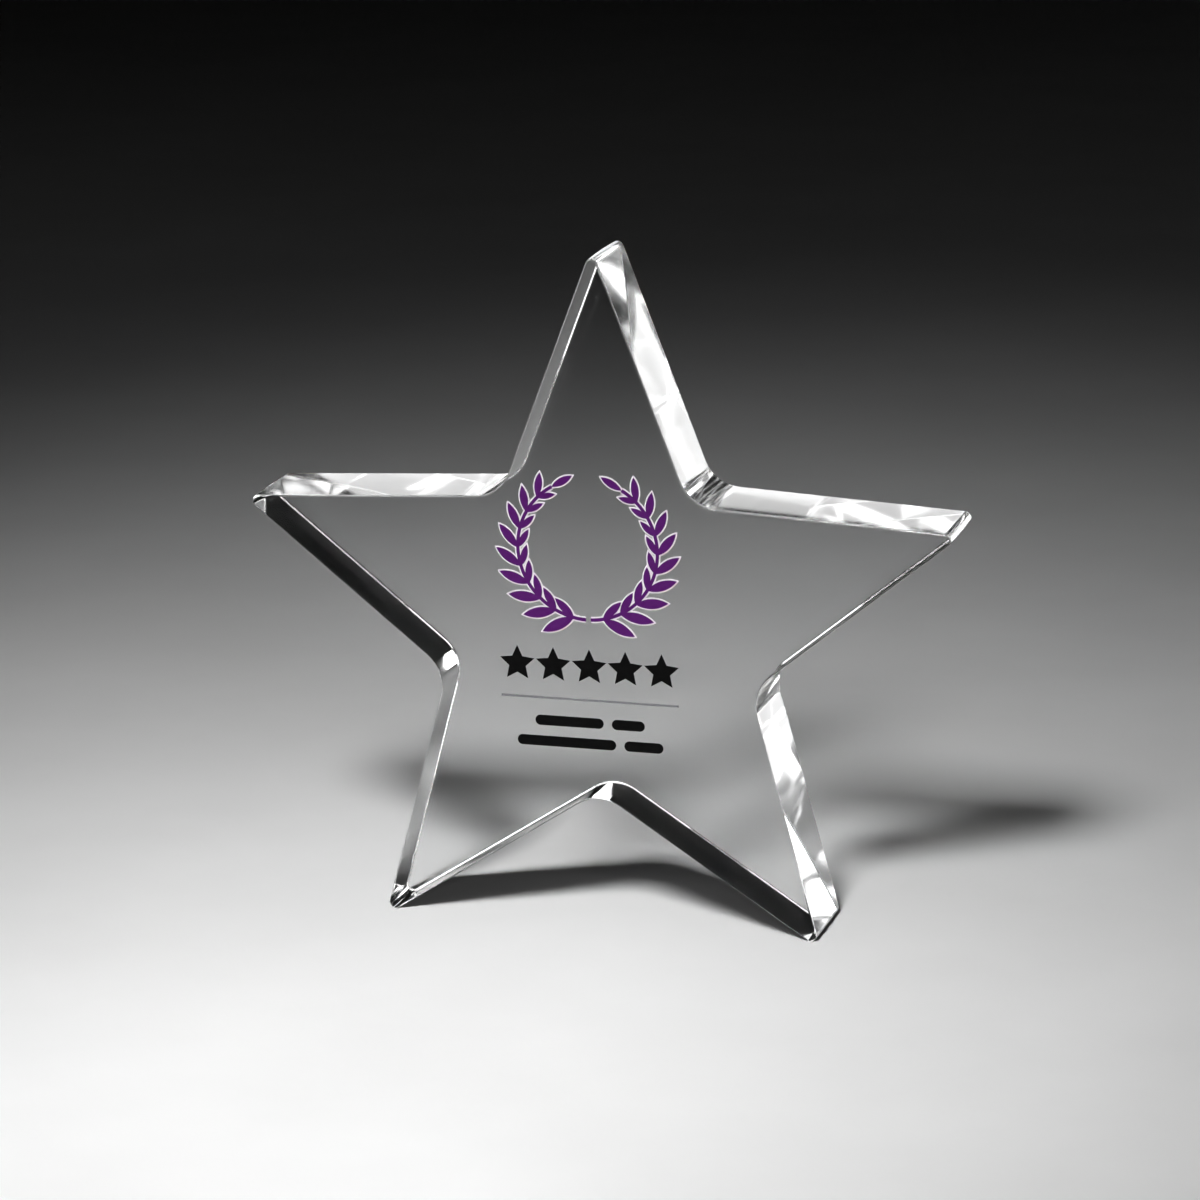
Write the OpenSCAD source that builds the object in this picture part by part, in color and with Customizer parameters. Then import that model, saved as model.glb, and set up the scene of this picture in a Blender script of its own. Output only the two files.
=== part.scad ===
// Star award: a thick slab of clear acrylic cut to a five-point star. It stands on its two lower
// points, and its front face carries a printed wreath, a row of stars, a rule and two short lines.
// Frame: X across the star, -Y the printed front, Z up. The origin is on the table, midway between
// the two lower points and midway through the slab.

/* [Star] */
// Width across the two side points
star_width = 150; // [140:1:190]
// Thickness of the slab
slab_t = 20; // [12:1:30]
// Radius of the inner corners over the radius of the points, both taken as sharp
inner_ratio = 0.427; // [0.4:0.001:0.48]
// Radius that rounds each point
point_r = 1.5; // [1:0.1:2.5]
// Radius of the cutter, left in each inner corner
corner_r = 8.3; // [4:0.1:12]
// Width taken off the long edges of both faces
edge_break = 0.4; // [0.2:0.05:0.6]
// Depth polished off the two lower points, so that they stand flat
foot_depth = 0.15; // [0.05:0.05:0.3]

/* [Print] */
// Thickness of one film of ink
ink_t = 0.1; // [0.05:0.01:0.2]
// Centre line of the print, from the middle of the star
print_x = -1.6; // [-4:0.1:4]
// White that shows round the coloured ink
underbase_rim = 0.3; // [0.1:0.05:0.4]

/* [Wreath] */
// Height of the wreath's centre above the star's centre
wreath_z = 17.6; // [14:0.1:22]
// Radius of the two stems
stem_r = 15; // [11:0.5:17]
// Width of a stem
stem_w = 0.7; // [0.4:0.1:1.2]
// Pairs of leaves on each branch
leaf_pairs = 9; // [4:1:10]
// Length of the lowest outer leaf
leaf_l = 7.6; // [4:0.1:8]
// Width of the lowest outer leaf
leaf_w = 2.3; // [1.5:0.1:3]
// Angle between an outer leaf and the stem
leaf_splay = 38; // [20:1:45]

/* [Title and lines] */
// Number of stars in the title row
title_count = 5; // [3:1:5]
// Radius of a title star's points
title_star_r = 3.9; // [2:0.1:4]
// Distance from one title star to the next
title_pitch = 7.8; // [7.7:0.1:9]
// Length of the rule
rule_l = 38.4; // [20:0.1:44]
// Width of the rule
rule_w = 0.45; // [0.2:0.05:1]
// Height of the bars that stand for words
bar_h = 2.2; // [1:0.1:3]
// Gap between two bars of a line
bar_gap = 1.8; // [1:0.1:3]

/* [Hidden] */
$fn = 96;

// Five points, the first straight up. Each has a straight edge on both sides.
points = 5;
pitch = 360 / points;
half_tip = atan(inner_ratio * sin(pitch / 2) / (1 - inner_ratio * cos(pitch / 2)));
half_gap = half_tip + pitch / 2;

// Distances from the star's centre to the sharp points, the sharp inner corners, the centres of
// the rounded points and the centres of the cutter
tip_d = (star_width / 2 - point_r) / cos(90 - pitch);
sharp_r = tip_d + point_r / sin(half_tip);
cutter_d = sharp_r * inner_ratio + corner_r / sin(half_gap);
centre_z = tip_d * cos(pitch / 2) + point_r - foot_depth;

// The ends of the top point's right-hand straight edge
edge_normal = [cos(half_tip), sin(half_tip)];
edge_top = [0, tip_d] + point_r * edge_normal;
edge_end = cutter_d * [sin(pitch / 2), cos(pitch / 2)] - corner_r * edge_normal;

// How far a cutting tool reaches past the surface that it cuts
past = 0.1;

// A round and the straight edge it meets cross at a slight angle instead of just touching: the
// round's wall stands this far past the edge, and its edge break is this much off the straight one
wall_cross = 0.005;
break_cross = 0.01;
// The straight breaks run this far on round the points, and the corners' breaks turn this far
// back along the straights
tip_run_on = 0.3;
corner_run_on = 5;

// Places on the front face, below the star's centre
title_z = -7.7;
rule_z = -14.8;
line_1_z = -19.7;
line_2_z = -24.2;
line_1_words = [14.8, 7.1];
line_2_words = [21.4, 8.4];
title_ratio = 0.48;

// A branch's stem runs between these angles, bare up to its first leaves. Its leaves get smaller
// by a third along the way, and the inner ones are shorter and lie closer to the stem.
stem_from = -88;
first_leaf = -78;
stem_to = 60;
leaf_shrink = 0.33;
inner_leaf = 0.74;
inner_splay = 0.85;

clear = [0.86, 0.91, 0.93, 0.45];
purple = [0.28, 0.09, 0.36];
black = [0.02, 0.02, 0.02];
grey = [0.45, 0.45, 0.46];

function turned(p, a) = [p[0] * cos(a) - p[1] * sin(a), p[0] * sin(a) + p[1] * cos(a)];
function mirrored(p) = [-p[0], p[1]];

// Stands a flat drawing up, its Y becoming Z and its Z becoming -Y
module upright() {
    translate([0, 0, centre_z])
        rotate([90, 0, 0])
            children();
}

// A film of ink on the front face, over the number of films given
module film(over = 0) {
    upright()
        translate([print_x, 0, slab_t / 2 + over * ink_t])
            linear_extrude(height = ink_t)
                children();
}

// The slab's outline: straight edges, then the rounded points on and the cutter's corners out
module star_outline() {
    point = [edge_end, edge_top, mirrored(edge_top), mirrored(edge_end)];
    difference() {
        union() {
            polygon([for (i = [0:points - 1]) for (p = point) turned(p, pitch * i)]);
            for (i = [0:points - 1])
                rotate(pitch * i)
                    translate([0, tip_d])
                        circle(r = point_r + wall_cross);
        }
        for (i = [0:points - 1])
            rotate(pitch * (i + 0.5))
                translate([0, cutter_d])
                    circle(r = corner_r + wall_cross);
    }
}

// The section that takes a break of the given width off an edge at x = 0, y = 0, with the slab at
// x < 0 and y < 0
module break_section(width, past) {
    polygon([[past, past], [-width - past, past], [past, -width - past]]);
}

// Breaks the edge of one face along a point's two straight edges, round the point and round the
// inner corner on its right
module edge_break_of_point() {
    edge_l = norm(edge_end - edge_top) + tip_run_on;
    corner_turn = 180 - 2 * half_gap + 2 * corner_run_on;
    for (side = [0, 1])
        mirror([side, 0, 0])
            translate([edge_top[0], edge_top[1], slab_t / 2])
                rotate([90, 0, half_tip])
                    translate([0, 0, -tip_run_on])
                        linear_extrude(height = edge_l)
                            break_section(edge_break, past);
    translate([0, tip_d, slab_t / 2])
        rotate(half_tip)
            rotate_extrude(angle = 180 - 2 * half_tip)
                translate([point_r, 0])
                    break_section(edge_break - break_cross, 1.5 * past);
    rotate(-pitch / 2)
        translate([0, cutter_d, slab_t / 2])
            rotate(270 - corner_turn / 2)
                rotate_extrude(angle = corner_turn)
                    translate([corner_r, 0])
                        mirror([1, 0])
                            break_section(edge_break + break_cross, 1.5 * past);
}

module star_block() {
    color(clear)
        difference() {
            upright()
                difference() {
                    linear_extrude(height = slab_t, center = true)
                        star_outline();
                    for (face = [0, 1])
                        mirror([0, 0, face])
                            for (i = [0:points - 1])
                                rotate(pitch * i)
                                    edge_break_of_point();
                }
            translate([-star_width / 2, -slab_t, -10])
                cube([star_width, 2 * slab_t, 10]);
        }
}

// A pointed leaf along +X from the origin, where two equal circles overlap
module leaf(length, width, rim) {
    r = (length * length + width * width) / (4 * width);
    intersection() {
        translate([length / 2, r - width / 2])
            circle(r = r + rim);
        translate([length / 2, width / 2 - r])
            circle(r = r + rim);
    }
}

// The right-hand branch: a curved stem, pairs of leaves that get smaller, and one at its end
module branch(rim = 0) {
    rotate(stem_from)
        ring_sector(stem_to - stem_from, stem_r - stem_w / 2 - rim, stem_r + stem_w / 2 + rim);
    for (i = [0:leaf_pairs]) {
        size = 1 - leaf_shrink * i / leaf_pairs;
        rotate(first_leaf + (stem_to - first_leaf) * i / leaf_pairs)
            translate([stem_r, 0])
                rotate(90)
                    if (i < leaf_pairs) {
                        rotate(-leaf_splay)
                            leaf(leaf_l * size, leaf_w * size, rim);
                        rotate(leaf_splay * inner_splay)
                            leaf(leaf_l * size * inner_leaf, leaf_w * size * inner_leaf, rim);
                    } else {
                        leaf(leaf_l * size, leaf_w * size, rim);
                    }
    }
}

// A flat ring's sector from the X axis, less than half a turn
module ring_sector(angle, inner, outer) {
    reach = 2 * outer;
    difference() {
        intersection() {
            circle(r = outer);
            polygon([[0, 0], [reach, 0], reach * [cos(angle / 2), sin(angle / 2)],
                reach * [cos(angle), sin(angle)]]);
        }
        circle(r = inner);
    }
}

module emblem_underbase() {
    color("white")
        film()
            translate([0, wreath_z])
                for (side = [0, 1])
                    mirror([side, 0])
                        branch(underbase_rim);
}

module wreath_right() {
    color(purple)
        film(over = 1)
            translate([0, wreath_z])
                branch();
}

module wreath_left() {
    color(purple)
        film(over = 1)
            translate([0, wreath_z])
                mirror([1, 0])
                    branch();
}

module title_stars() {
    color(black)
        film()
            for (i = [0:title_count - 1])
                translate([title_pitch * (i - (title_count - 1) / 2), title_z])
                    polygon([for (k = [0:2 * points - 1])
                        turned([0, title_star_r * (k % 2 == 0 ? 1 : title_ratio)], pitch / 2 * k)]);
}

module divider_rule() {
    color(grey)
        film()
            translate([0, rule_z])
                square([rule_l, rule_w], center = true);
}

// How far along its line a bar starts, given the lengths of all
function bar_start(words, i) = i == 0 ? 0 : bar_start(words, i - 1) + words[i - 1] + bar_gap;

// A line of round-ended bars, one for each length given, centred
module bars(words) {
    total = bar_start(words, len(words)) - bar_gap;
    for (i = [0:len(words) - 1])
        translate([bar_start(words, i) - total / 2, 0]) {
            translate([bar_h / 2, -bar_h / 2])
                square([words[i] - bar_h, bar_h]);
            for (x = [bar_h / 2, words[i] - bar_h / 2])
                translate([x, 0])
                    circle(d = bar_h);
        }
}

module inscription_line_1() {
    color(black)
        film()
            translate([0, line_1_z])
                bars(line_1_words);
}

module inscription_line_2() {
    color(black)
        film()
            translate([0, line_2_z])
                bars(line_2_words);
}

star_block();
emblem_underbase();
wreath_left();
wreath_right();
title_stars();
divider_rule();
inscription_line_1();
inscription_line_2();
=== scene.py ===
"""Looks of the star award: a slab of clear polished acrylic, cut to a five-point star, with a printed face.

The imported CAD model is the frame: X across the star, -Y the printed front, Z up, the origin on the table.
This script builds the star again as a smooth mesh, gives every piece its material, and sets up the floor,
the lights and the camera. Lengths are in metres.
"""
import math

import bmesh
import bpy
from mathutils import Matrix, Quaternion, Vector, noise


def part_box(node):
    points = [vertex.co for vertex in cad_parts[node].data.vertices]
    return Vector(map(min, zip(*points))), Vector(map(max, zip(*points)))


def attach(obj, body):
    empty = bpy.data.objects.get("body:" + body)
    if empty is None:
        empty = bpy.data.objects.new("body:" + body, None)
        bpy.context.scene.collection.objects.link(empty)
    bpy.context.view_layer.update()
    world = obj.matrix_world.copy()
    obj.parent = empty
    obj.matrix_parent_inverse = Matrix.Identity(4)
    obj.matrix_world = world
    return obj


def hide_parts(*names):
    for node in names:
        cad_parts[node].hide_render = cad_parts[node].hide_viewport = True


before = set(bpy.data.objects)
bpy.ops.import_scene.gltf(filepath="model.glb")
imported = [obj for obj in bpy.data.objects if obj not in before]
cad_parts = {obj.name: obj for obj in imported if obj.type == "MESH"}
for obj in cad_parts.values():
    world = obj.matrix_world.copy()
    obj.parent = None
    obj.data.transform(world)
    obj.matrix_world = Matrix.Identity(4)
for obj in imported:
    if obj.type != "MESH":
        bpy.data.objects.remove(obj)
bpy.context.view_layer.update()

MM = 0.001

# ---------------------------------------------------------------- the star's driving sizes
POINTS = 5
PITCH = 2 * math.pi / POINTS
INNER_RATIO = 0.427             # sharp inner corners' radius over the sharp points' radius
POINT_R = 1.5 * MM              # rounds each point
CORNER_R = 8.3 * MM             # the cutter's radius, left in each inner corner
EDGE_R = 0.4 * MM               # rounds the long edges of both faces
INK_GAP = 0.01 * MM             # a hair of air between the acrylic and the film of ink

POINT_STEPS = 14                # facets round a point
CORNER_STEPS = 28               # facets round an inner corner
EDGE_STEPS = 5                  # facets over a rounded long edge
STRAIGHT_STEPS = 40             # cells along a straight edge
WALL_STEPS = 24                 # cells across a wall

CROWN = 0.15 * MM               # how far polishing has drawn a wall's edges in
WAVE_HEIGHT = 0.006 * MM        # the waves that polishing leaves on a wall:
WAVE_LENGTH = 60 * MM           # along it
WAVE_WIDTH = 8 * MM             # and across it
WAVE_SEED = 0.006               # which waves, of all that the noise can give
SLOPE_STEP = 0.05 * MM          # the step that a wave's slope is measured over

slab_low, slab_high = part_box("star_block")
SLAB_T = slab_high.y - slab_low.y

HALF_TIP = math.atan(
    INNER_RATIO * math.sin(PITCH / 2) / (1 - INNER_RATIO * math.cos(PITCH / 2)))
HALF_GAP = HALF_TIP + PITCH / 2
TIP_D = (slab_high.x - POINT_R) / math.sin(PITCH)
SHARP_R = TIP_D + POINT_R / math.sin(HALF_TIP)
CUTTER_D = SHARP_R * INNER_RATIO + CORNER_R / math.sin(HALF_GAP)
star_centre = Vector((0, 0, slab_high.z - TIP_D - POINT_R))


# ---------------------------------------------------------------- camera, as in the photograph
VIEW_AZIMUTH = math.radians(16.44)
VIEW_ELEVATION = math.radians(15.12)
VIEW_ROLL = math.radians(-0.82)
VIEW_DISTANCE = 1.0419
VIEW_AIM = Vector((-2.17, 0.51, 4.04)) * MM     # from the star's centre
LENS = 149.6


def make_camera():
    data = bpy.data.cameras.new("camera")
    data.lens = LENS
    data.clip_start = 0.01
    data.clip_end = 50
    camera = bpy.data.objects.new("camera", data)
    bpy.context.scene.collection.objects.link(camera)
    back = Vector((
        math.sin(VIEW_AZIMUTH) * math.cos(VIEW_ELEVATION),
        -math.cos(VIEW_AZIMUTH) * math.cos(VIEW_ELEVATION),
        math.sin(VIEW_ELEVATION)))
    camera.rotation_mode = "QUATERNION"
    turn = (-back).to_track_quat("-Z", "Y")
    camera.rotation_quaternion = turn @ Quaternion((0, 0, 1), VIEW_ROLL)
    camera.location = star_centre + VIEW_AIM + back * VIEW_DISTANCE
    bpy.context.scene.camera = camera


# ---------------------------------------------------------------- node helpers
def new_material(name):
    """An empty node material and its tree."""
    material = bpy.data.materials.new(name)
    material.use_nodes = True
    tree = material.node_tree
    tree.nodes.clear()
    return material, tree


def add(tree, kind, **sockets):
    """Adds a node, with the values of the sockets named."""
    node = tree.nodes.new(kind)
    for name, value in sockets.items():
        node.inputs[name.replace("_", " ")].default_value = value
    return node


def grain(tree, scale, detail):
    """Noise in object coordinates, from 0 to 1."""
    place = tree.nodes.new("ShaderNodeTexCoord")
    node = add(tree, "ShaderNodeTexNoise", Scale=scale, Detail=detail)
    tree.links.new(place.outputs["Object"], node.inputs["Vector"])
    return node.outputs["Fac"]


def mapped(tree, value, start, end, low=0.0, high=1.0):
    """A value mapped from start..end to low..high, and held at those outside."""
    node = tree.nodes.new("ShaderNodeMapRange")
    node.inputs["From Min"].default_value = start
    node.inputs["From Max"].default_value = end
    node.inputs["To Min"].default_value = low
    node.inputs["To Max"].default_value = high
    tree.links.new(value, node.inputs["Value"])
    return node.outputs["Result"]


def varied(tree, scale, detail, low, high):
    """Noise spread over low..high. Most of what a noise node gives lies between 0.3 and 0.7."""
    return mapped(tree, grain(tree, scale, detail), 0.3, 0.7, low, high)


def tinted(tree, colour, lighter, scale, detail):
    """A colour that drifts between the two given."""
    mix = tree.nodes.new("ShaderNodeMix")
    mix.data_type = "RGBA"
    mix.inputs["A"].default_value = (*colour, 1)
    mix.inputs["B"].default_value = (*lighter, 1)
    tree.links.new(varied(tree, scale, detail, 0, 1), mix.inputs["Factor"])
    return mix.outputs["Result"]


def bump(tree, height, strength, distance):
    node = add(tree, "ShaderNodeBump", Strength=strength, Distance=distance)
    tree.links.new(height, node.inputs["Height"])
    return node.outputs["Normal"]


def product(tree, first, second):
    """Two values, multiplied."""
    node = tree.nodes.new("ShaderNodeMath")
    node.operation = "MULTIPLY"
    tree.links.new(first, node.inputs[0])
    tree.links.new(second, node.inputs[1])
    return node.outputs["Value"]


def output(tree, shader):
    out = tree.nodes.new("ShaderNodeOutputMaterial")
    tree.links.new(shader, out.inputs["Surface"])


# ---------------------------------------------------------------- materials
ACRYLIC = (0.980, 0.988, 0.988)
ACRYLIC_LIGHTER = (0.988, 0.992, 0.992)
ACRYLIC_IOR = 1.49
INK_IOR = 1.5
INK_GLOSS = 0.05                # specular level, a tenth of a plain surface's: black reads as black


def acrylic(name, let_through, mirror):
    """Clear cast acrylic, perfectly smooth, with the faintest unevenness in its tint.

    The share let_through is how much lamp light goes straight through it to the floor: nearly all at a
    face, and little at a wall, which throws it elsewhere and leaves a dark band. The share mirror is how
    much it mirrors head-on, against bare acrylic. Returns the shader too.
    """
    material, tree = new_material(name)
    shader = add(tree, "ShaderNodeBsdfPrincipled", IOR=ACRYLIC_IOR, Transmission_Weight=1.0, Roughness=0.0)
    shader.inputs["Specular Tint"].default_value = (mirror, mirror, mirror, 1)
    tree.links.new(tinted(tree, ACRYLIC, ACRYLIC_LIGHTER, 25, 2), shader.inputs["Base Color"])
    through = tree.nodes.new("ShaderNodeBsdfTransparent")
    through.inputs["Color"].default_value = (let_through, let_through, let_through, 1)
    path = tree.nodes.new("ShaderNodeLightPath")
    mix = tree.nodes.new("ShaderNodeMixShader")
    tree.links.new(path.outputs["Is Shadow Ray"], mix.inputs[0])
    tree.links.new(shader.outputs["BSDF"], mix.inputs[1])
    tree.links.new(through.outputs["BSDF"], mix.inputs[2])
    output(tree, mix.outputs["Shader"])
    return material, shader


def acrylic_face():
    """The faces mirror less than bare acrylic: the photograph shows no mirror image of the print."""
    material, _ = acrylic("acrylic_face", let_through=0.98, mirror=0.3)
    return material


def acrylic_wall():
    """The sawn and polished walls keep a trace of haze, more in some places than in others."""
    material, shader = acrylic("acrylic_wall", let_through=0.05, mirror=1.0)
    tree = material.node_tree
    tree.links.new(varied(tree, 60, 3, 0.04, 0.07), shader.inputs["Roughness"])
    return material


def ink(name, colour, lighter, roughness):
    """A film of screen-printed ink: satin, a little uneven in colour and gloss, with a fine grain."""
    material, tree = new_material(name)
    shader = add(tree, "ShaderNodeBsdfPrincipled", IOR=INK_IOR, Specular_IOR_Level=INK_GLOSS)
    tree.links.new(tinted(tree, colour, lighter, 900, 3), shader.inputs["Base Color"])
    uneven = varied(tree, 400, 2, roughness - 0.06, roughness + 0.06)
    tree.links.new(uneven, shader.inputs["Roughness"])
    tree.links.new(bump(tree, grain(tree, 2500, 2), 0.15, 0.00002), shader.inputs["Normal"])
    output(tree, shader.outputs["BSDF"])
    return material


# ---------------------------------------------------------------- the star
def outline():
    """The star's outline as (place, outward normal) pairs in the X-Z plane, once round."""
    made = []

    def at(angle):
        return Vector((math.cos(angle), 0, math.sin(angle)))

    def straight_to(place, normal):
        """Steps along a straight edge from the last place made, up to the next one."""
        start = made[-1][0]
        for k in range(1, STRAIGHT_STEPS):
            made.append((start.lerp(place, k / STRAIGHT_STEPS), normal))

    for i in range(POINTS):
        turn = PITCH * i
        tip = star_centre + TIP_D * at(math.pi / 2 + turn)
        for k in range(POINT_STEPS + 1):
            normal = at(HALF_TIP + (math.pi - 2 * HALF_TIP) * k / POINT_STEPS + turn)
            if i > 0 and k == 0:
                straight_to(tip + POINT_R * normal, normal)
            made.append((tip + POINT_R * normal, normal))
        cutter = star_centre + CUTTER_D * at(math.pi / 2 + PITCH / 2 + turn)
        first, last = math.pi - HALF_TIP, HALF_TIP + PITCH
        for k in range(CORNER_STEPS + 1):
            normal = at(first + (last - first) * k / CORNER_STEPS + turn)
            if k == 0:
                straight_to(cutter - CORNER_R * normal, normal)
            made.append((cutter - CORNER_R * normal, normal))
    straight_to(*made[0])
    return made


def wall_depth(along, y):
    """How far the polished wall lies inside the true outline: its crown, and faint waves along it."""
    crown = CROWN * (2 * y / SLAB_T) ** 2
    return crown + WAVE_HEIGHT * noise.noise(Vector((along / WAVE_LENGTH, y / WAVE_WIDTH, WAVE_SEED)))


def section():
    """The slab's edge from front to back: (inset, y, how far the normal leans out, its y)."""
    made = []
    half = SLAB_T / 2
    for k in range(EDGE_STEPS + 1):
        lean = math.pi / 2 * k / EDGE_STEPS
        inset = EDGE_R * (1 - math.sin(lean))
        y = -half + INK_GAP + EDGE_R * (1 - math.cos(lean))
        made.append((inset, y, math.sin(lean), -math.cos(lean)))
    back = [(inset, -y + INK_GAP, out, -lean) for inset, y, out, lean in reversed(made)]
    start, end = made[-1][1], back[0][1]
    for k in range(1, WALL_STEPS):
        made.append((0, start + (end - start) * k / WALL_STEPS, 1, 0))
    return made + back


def make_star(face_material, wall_material):
    """The star as rings of points from front to back, with the normals that its polished surface has."""
    mesh = bpy.data.meshes.new("acrylic_star")
    shape = bmesh.new()
    normals = []
    rings = []
    loop = outline()
    count = len(loop)
    lengths = [0]
    for (near, _), (far, _) in zip(loop, loop[1:]):
        lengths.append(lengths[-1] + (far - near).length)
    for inset, y, out, lean in section():
        ring = []
        for (place, normal), along in zip(loop, lengths):
            tangent = Vector((normal.z, 0, -normal.x))
            depth = wall_depth(along, y)
            slope_along = (wall_depth(along + SLOPE_STEP, y) - depth) / SLOPE_STEP
            slope_across = (wall_depth(along, y + SLOPE_STEP) - depth) / SLOPE_STEP
            spot = place - normal * (inset + max(depth, 0))
            spot.y = y
            facing = (normal - tangent * slope_along + Vector((0, slope_across, 0))) * out
            facing += Vector((0, lean, 0))
            spot.z = max(spot.z, 0)
            ring.append(shape.verts.new(spot))
            normals.append(facing.normalized())
        rings.append(ring)
    for near, far in zip(rings, rings[1:]):
        for i in range(count):
            j = (i + 1) % count
            shape.faces.new((near[i], far[i], far[j], near[j]))
    for face in shape.faces:
        face.material_index = 1
    shape.faces.new(rings[0])
    shape.faces.new(list(reversed(rings[-1])))
    for face in shape.faces:
        face.smooth = True
    shape.normal_update()
    shape.to_mesh(mesh)
    shape.free()
    mesh.normals_split_custom_set_from_vertices(normals)
    mesh.materials.append(face_material)
    mesh.materials.append(wall_material)
    star = bpy.data.objects.new("acrylic_star", mesh)
    bpy.context.scene.collection.objects.link(star)
    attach(star, "root")
    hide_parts("star_block")


# ---------------------------------------------------------------- floor
FLOOR_HALF = 4.0                # half its side
PAPER = (0.82, 0.82, 0.82)
PAPER_LIGHTER = (0.88, 0.88, 0.88)


def floor_material():
    """Plain pale matt paper, with a faint mottle and a fine grain."""
    material, tree = new_material("studio_floor")
    shader = add(tree, "ShaderNodeBsdfPrincipled", Roughness=0.9, Specular_IOR_Level=0.0)
    tree.links.new(tinted(tree, PAPER, PAPER_LIGHTER, 12, 4), shader.inputs["Base Color"])
    tree.links.new(bump(tree, grain(tree, 700, 3), 0.1, 0.0001), shader.inputs["Normal"])
    output(tree, shader.outputs["BSDF"])
    return material


def make_floor():
    mesh = bpy.data.meshes.new("floor")
    half = FLOOR_HALF
    mesh.from_pydata(
        [(-half, -half, 0), (half, -half, 0), (half, half, 0), (-half, half, 0)], [], [(0, 1, 2, 3)])
    mesh.materials.append(floor_material())
    floor = bpy.data.objects.new("floor", mesh)
    bpy.context.scene.collection.objects.link(floor)


# ---------------------------------------------------------------- light
LIGHT_AIM = Vector((0, 0, 0.04))
# Two softboxes have grids, and the key points just in front, so that the floor fades to dark behind. A
# grid gathers the light into its cone, so a radiance is that of the same box without one.
KEY_SPREAD = 44
KEY_AIM = Vector((-0.03, -0.08, 0))
FRONT_SPREAD = 50


def softbox(name, azimuth, elevation, distance, size, radiance, spread_angle=180, aim=LIGHT_AIM):
    """A rectangular soft light, placed as seen from the star. Azimuth 0 is in front and 90 on the right.

    Angles are in degrees. A spread below 180 is a grid: the light fades out towards that cone's edge.
    """
    turn, lift = math.radians(azimuth), math.radians(elevation)
    out = Vector((math.sin(turn) * math.cos(lift), -math.cos(turn) * math.cos(lift), math.sin(lift)))
    data = bpy.data.lights.new(name, "AREA")
    data.shape = "RECTANGLE"
    data.size, data.size_y = size
    data.energy = radiance * math.pi * size[0] * size[1]
    data.spread = math.radians(spread_angle)
    light = bpy.data.objects.new(name, data)
    light.location = LIGHT_AIM + out * distance
    light.rotation_mode = "QUATERNION"
    light.rotation_quaternion = (aim - light.location).to_track_quat("-Z", "Y")
    light.visible_camera = False
    bpy.context.scene.collection.objects.link(light)
    return light


STUDIO_LEVEL = 1.8
BACK_OPENING = (0.50, 0.62)     # the dark back starts where a direction's y passes from one to the other
FRONT_OPENING = (-0.60, -0.70)  # and so does the dark place where the camera stands,
FRONT_TOP = (0.44, 0.38)        # which starts, going down, where its z passes from one to the other
BACK_SHARE = 0.002              # what is left of the studio's level in the dark back
FRONT_SHARE = 0.05              # and in the dark place in front


def make_studio():
    """White walls and ceiling that only reflections and refractions see, with a dark back and a dark place
    round the camera: they keep the walls seen through the face as dark as in the photograph."""
    world = bpy.data.worlds.new("studio")
    world.use_nodes = True
    tree = world.node_tree
    place = tree.nodes.new("ShaderNodeTexCoord")
    split = tree.nodes.new("ShaderNodeSeparateXYZ")
    tree.links.new(place.outputs["Generated"], split.inputs["Vector"])
    y, z = split.outputs["Y"], split.outputs["Z"]
    back = mapped(tree, y, *BACK_OPENING, low=STUDIO_LEVEL, high=STUDIO_LEVEL * BACK_SHARE)
    camera_place = product(tree, mapped(tree, y, *FRONT_OPENING), mapped(tree, z, *FRONT_TOP))
    level = product(tree, back, mapped(tree, camera_place, 0, 1, low=1, high=FRONT_SHARE))
    tree.links.new(level, tree.nodes["Background"].inputs["Color"])
    world.cycles_visibility.diffuse = False
    world.cycles_visibility.camera = False
    bpy.context.scene.world = world


def make_lights(printed):
    """The softboxes, the strips that only the acrylic shows, and one softbox behind for the print alone,
    which stands in for the light that the pale floor sends to the print's back through the slab."""
    softbox("key_softbox", -3, 45, 0.90, (0.18, 0.18), 6.2, KEY_SPREAD, KEY_AIM)
    softbox("front_softbox", -5, 38, 1.3, (1.40, 0.60), 0.08, FRONT_SPREAD)
    for strip in (
            softbox("wall_strip", 154, 4, 0.435, (0.12, 0.14), 4.0),
            softbox("leg_strip", 149, -2, 0.274, (0.07, 0.06), 4.0),
            softbox("rear_left_strip", -165, 12, 1.8, (0.47, 0.50), 2.2)):
        strip.visible_diffuse = False
    behind = softbox("print_back_light", 180, 30, 1.0, (0.60, 0.60), 5.0)
    behind.light_linking.receiver_collection = printed


def set_look():
    """Enough bounces for light that goes round inside the slab. No caustics: acrylic() says what light
    goes through instead."""
    scene = bpy.context.scene
    scene.view_settings.view_transform = "Standard"
    scene.cycles.max_bounces = 24
    scene.cycles.transmission_bounces = 24
    scene.cycles.glossy_bounces = 12
    scene.cycles.caustics_refractive = False
    scene.cycles.caustics_reflective = False


# ---------------------------------------------------------------- the model
make_camera()
make_star(acrylic_face(), acrylic_wall())

INKS = {
    "white_ink": ink("white_ink", (0.72, 0.66, 0.72), (0.80, 0.75, 0.80), 0.42),
    "purple_ink": ink("purple_ink", (0.070, 0.009, 0.105), (0.082, 0.012, 0.125), 0.45),
    "black_ink": ink("black_ink", (0.0006, 0.0006, 0.0006), (0.003, 0.003, 0.003), 0.45),
    "grey_ink": ink("grey_ink", (0.15, 0.15, 0.16), (0.18, 0.18, 0.19), 0.42),
}
INK_OF_NODE = {
    "emblem_underbase": "white_ink",
    "wreath_left": "purple_ink",
    "wreath_right": "purple_ink",
    "title_stars": "black_ink",
    "divider_rule": "grey_ink",
    "inscription_line_1": "black_ink",
    "inscription_line_2": "black_ink",
}
printed = bpy.data.collections.new("printed")
for node_name, ink_name in INK_OF_NODE.items():
    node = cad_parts[node_name]
    printed.objects.link(node)
    for material_slot in node.material_slots:
        material_slot.material = INKS[ink_name]

make_floor()
make_studio()
make_lights(printed)
set_look()
